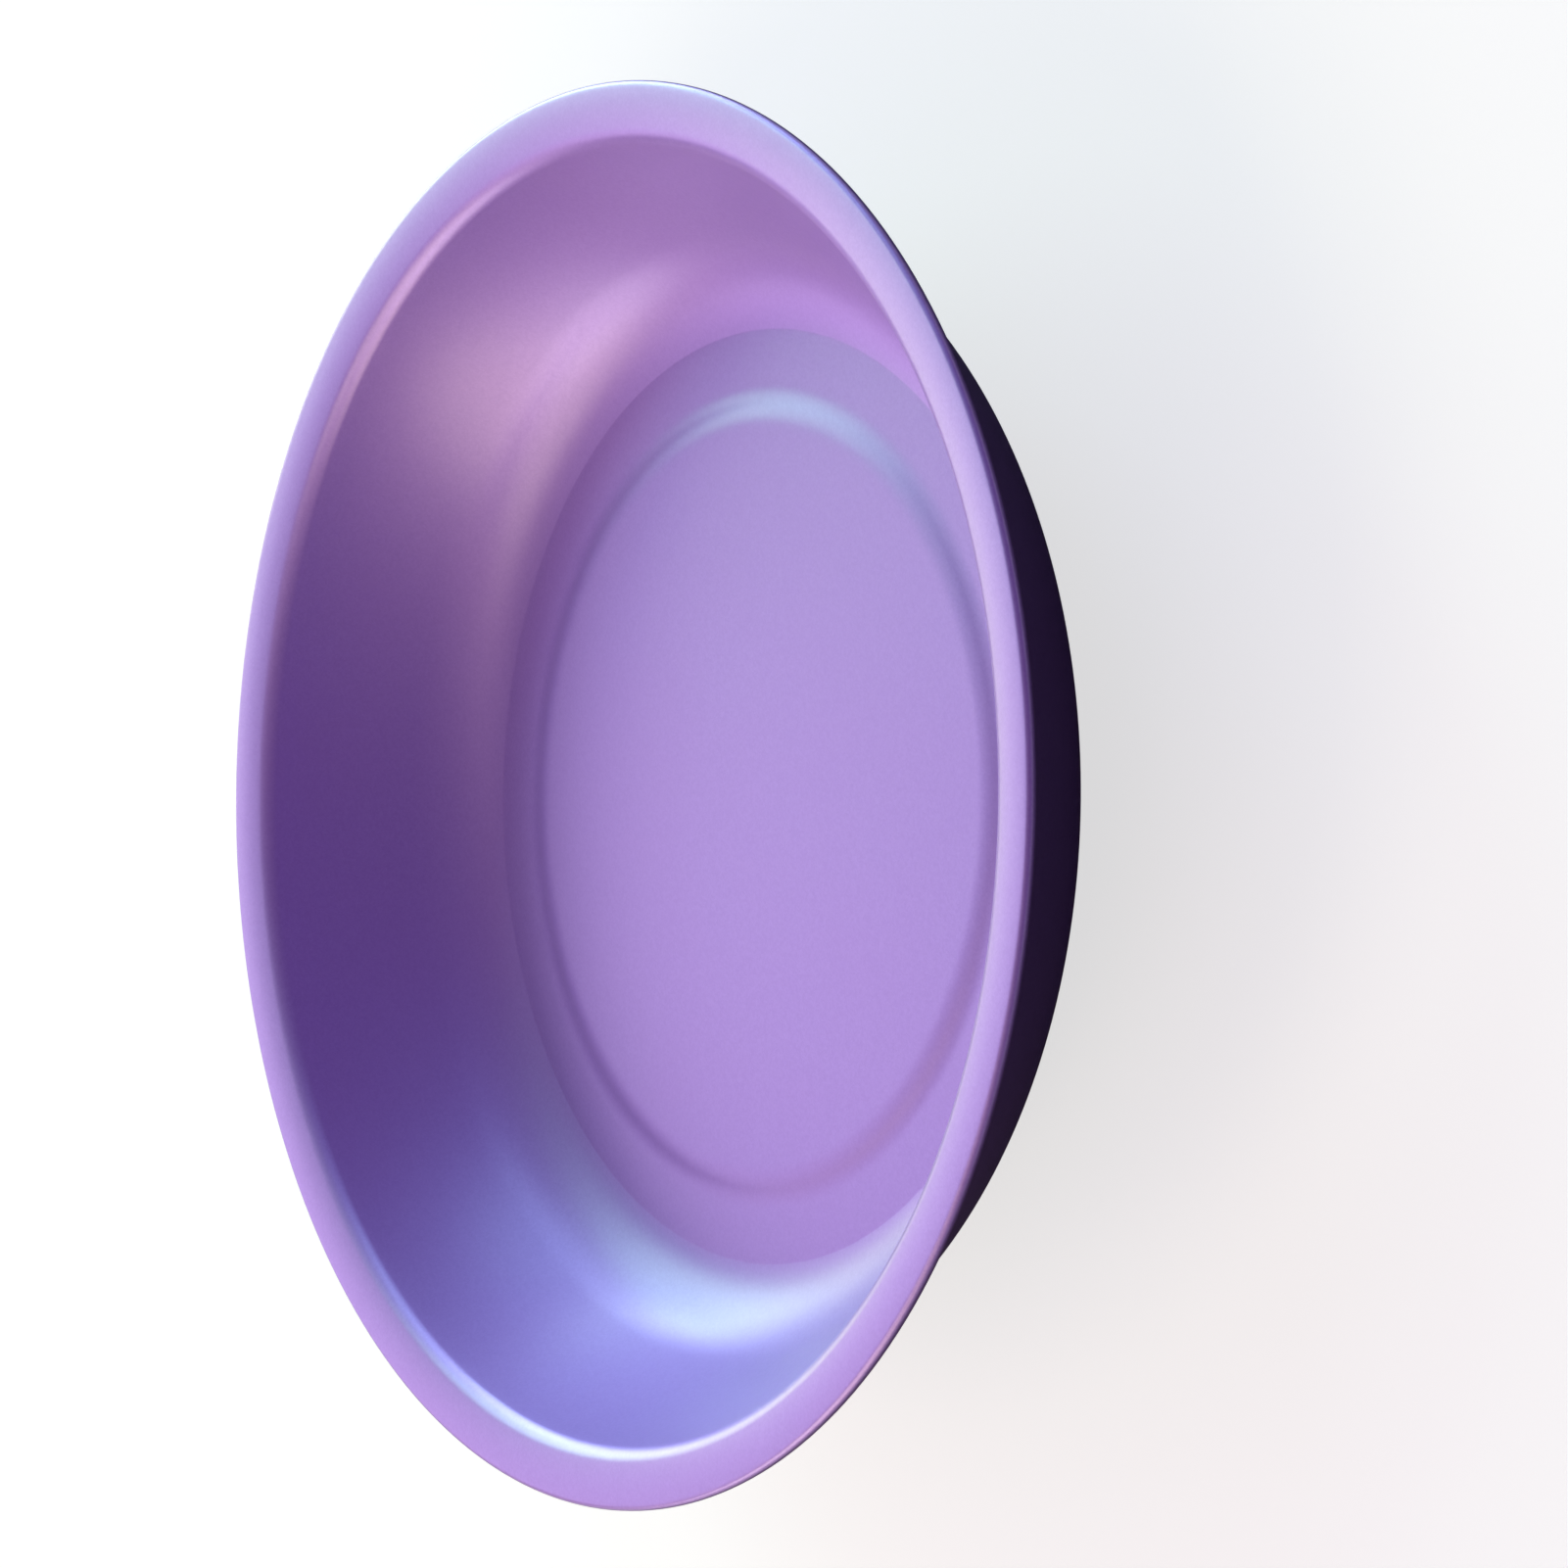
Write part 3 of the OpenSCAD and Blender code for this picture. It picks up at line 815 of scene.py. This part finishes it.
def joined(tree, operation, *inputs):
    """A Math node over sockets and numbers."""
    node = tree.nodes.new("ShaderNodeMath")
    node.operation = operation
    for socket, value in zip(node.inputs, inputs):
        if isinstance(value, (int, float)):
            socket.default_value = value
        else:
            tree.links.new(value, socket)
    return node.outputs["Value"]


deselect_all()
bpy.ops.mesh.primitive_plane_add(size=FLOOR_SIDE, location=(0, 0, -FLOOR_DROP * MM))
floor = bpy.context.object
floor.name = floor.data.name = "floor"
floor_finish, tree, shader, place = new_finish("floor_paint", roughness=1.0)
tree.nodes.remove(shader)
rays = tree.nodes.new("ShaderNodeLightPath").outputs
length = tree.nodes.new("ShaderNodeVectorMath")
length.operation = "LENGTH"
tree.links.new(place, length.inputs[0])
distance = length.outputs["Value"]
# Near the axis, reflections see the floor nearly black and without glow, fading out between
# SHADE_START and SHADE_END. This is a painted shadow of the tray, which keeps its outer wall dark.
beyond = spread(tree, distance, 0.0, 1.0, start=SHADE_START, end=SHADE_END)
mirrored = joined(tree, "MAXIMUM", rays["Is Glossy Ray"], rays["Is Transmission Ray"])
seen = joined(tree, "MAXIMUM", rays["Is Camera Ray"], joined(tree, "MULTIPLY", mirrored, beyond))
paint = tree.nodes.new("ShaderNodeBsdfDiffuse")
tree.links.new(blended(tree, seen, SUBDUED, PALE), paint.inputs["Color"])
glow = tree.nodes.new("ShaderNodeEmission")
paler = spread(tree, distance, FLOOR_GLOW, FAR_GLOW, start=FAR_START, end=FAR_END)
tree.links.new(joined(tree, "MULTIPLY", seen, paler), glow.inputs["Strength"])
both = tree.nodes.new("ShaderNodeAddShader")
tree.links.new(paint.outputs[0], both.inputs[0])
tree.links.new(glow.outputs[0], both.inputs[1])
clear = tree.nodes.new("ShaderNodeBsdfTransparent")
sides = tree.nodes.new("ShaderNodeMixShader")
from_below = tree.nodes.new("ShaderNodeNewGeometry").outputs["Backfacing"]
from_sole = joined(tree, "LESS_THAN", rays["Ray Length"], SOLE_REACH * MM)
tree.links.new(joined(tree, "MAXIMUM", from_below, from_sole), sides.inputs["Fac"])
tree.links.new(both.outputs[0], sides.inputs[1])
tree.links.new(clear.outputs[0], sides.inputs[2])
tree.links.new(sides.outputs[0], tree.nodes["Material Output"].inputs["Surface"])
floor.data.materials.append(floor_finish)
print(f"floor {FLOOR_DROP} mm below the sole")

# %% [markdown]
# ## World
#
# The world is white for the camera, as a product picture's background is. A world that
# lit the tray as brightly would flatten it, so the tray gets a dim violet light instead,
# which fills the shade as the walls of a room do.

# %% World
AMBIENT, WHITE = (0.21, 0.14, 0.27), (1, 1, 1)
world = bpy.data.worlds.new("studio")
bpy.context.scene.world = world
world.use_nodes = True
tree = world.node_tree
camera_ray = tree.nodes.new("ShaderNodeLightPath").outputs["Is Camera Ray"]
tree.links.new(blended(tree, camera_ray, AMBIENT, WHITE),
               tree.nodes["Background"].inputs["Color"])
tree.nodes["Background"].inputs["Strength"].default_value = 1
print(f"world: white to the camera, {AMBIENT} to the tray")

# %% [markdown]
# ## Lamps
#
# Big soft lamps stand round the far side of the tray, as the windows of a bright room do.
# The ones beyond +X are cooler and the ones beyond -X warmer, which gives a pearl coat its
# blue and pink sides. The near side has no lamp, so the wall under the rim stays dark. One
# lamp under the clear floor lights the sole, and the main view doesn't see its light.

# %% Lamps
LAMP_REACH, LAMP_SIZE = 1.1, 0.6  # metres
LAMPS = (
    # name, azimuth, elevation, watts of red, green and blue
    ("far_window", 100, 28, (1.4, 1.1, 1.6)),
    ("window_sill", 75, 12, (2.3, 2.7, 1.1)),
    ("cool_window", 60, 28, (2.0, 4.1, 3.0)),
    ("cool_corner", 15, 28, (0.8, 1.4, 1.8)),
    ("low_window", 45, 8, (3.5, 5.3, 5.9)),
    ("warm_window", 150, 28, (2.3, 2.2, 1.9)),
    ("warm_corner", 180, 28, (2.7, 2.3, 1.4)),
    ("high_window", 144, 50, (2.2, 1.9, 1.1)),
    ("under_lamp", 0, -90, (6.0, 6.0, 6.0)),
)
for name, azimuth, elevation, watts in LAMPS:
    light = bpy.data.lights.new(name, "AREA")
    light.shape, light.size, light.energy = "DISK", LAMP_SIZE, max(watts)
    light.color = [watt / max(watts) for watt in watts]
    lamp = bpy.data.objects.new(name, light)
    bpy.context.collection.objects.link(lamp)
    a, e = radians(azimuth), radians(elevation)
    away = Vector((cos(a) * cos(e), sin(a) * cos(e), sin(e)))
    lamp.location = Vector((0, 0, rim_top * MM)) + away * LAMP_REACH
    lamp.rotation_euler = away.to_track_quat("Z", "Y").to_euler()
print(len(LAMPS), "lamps")
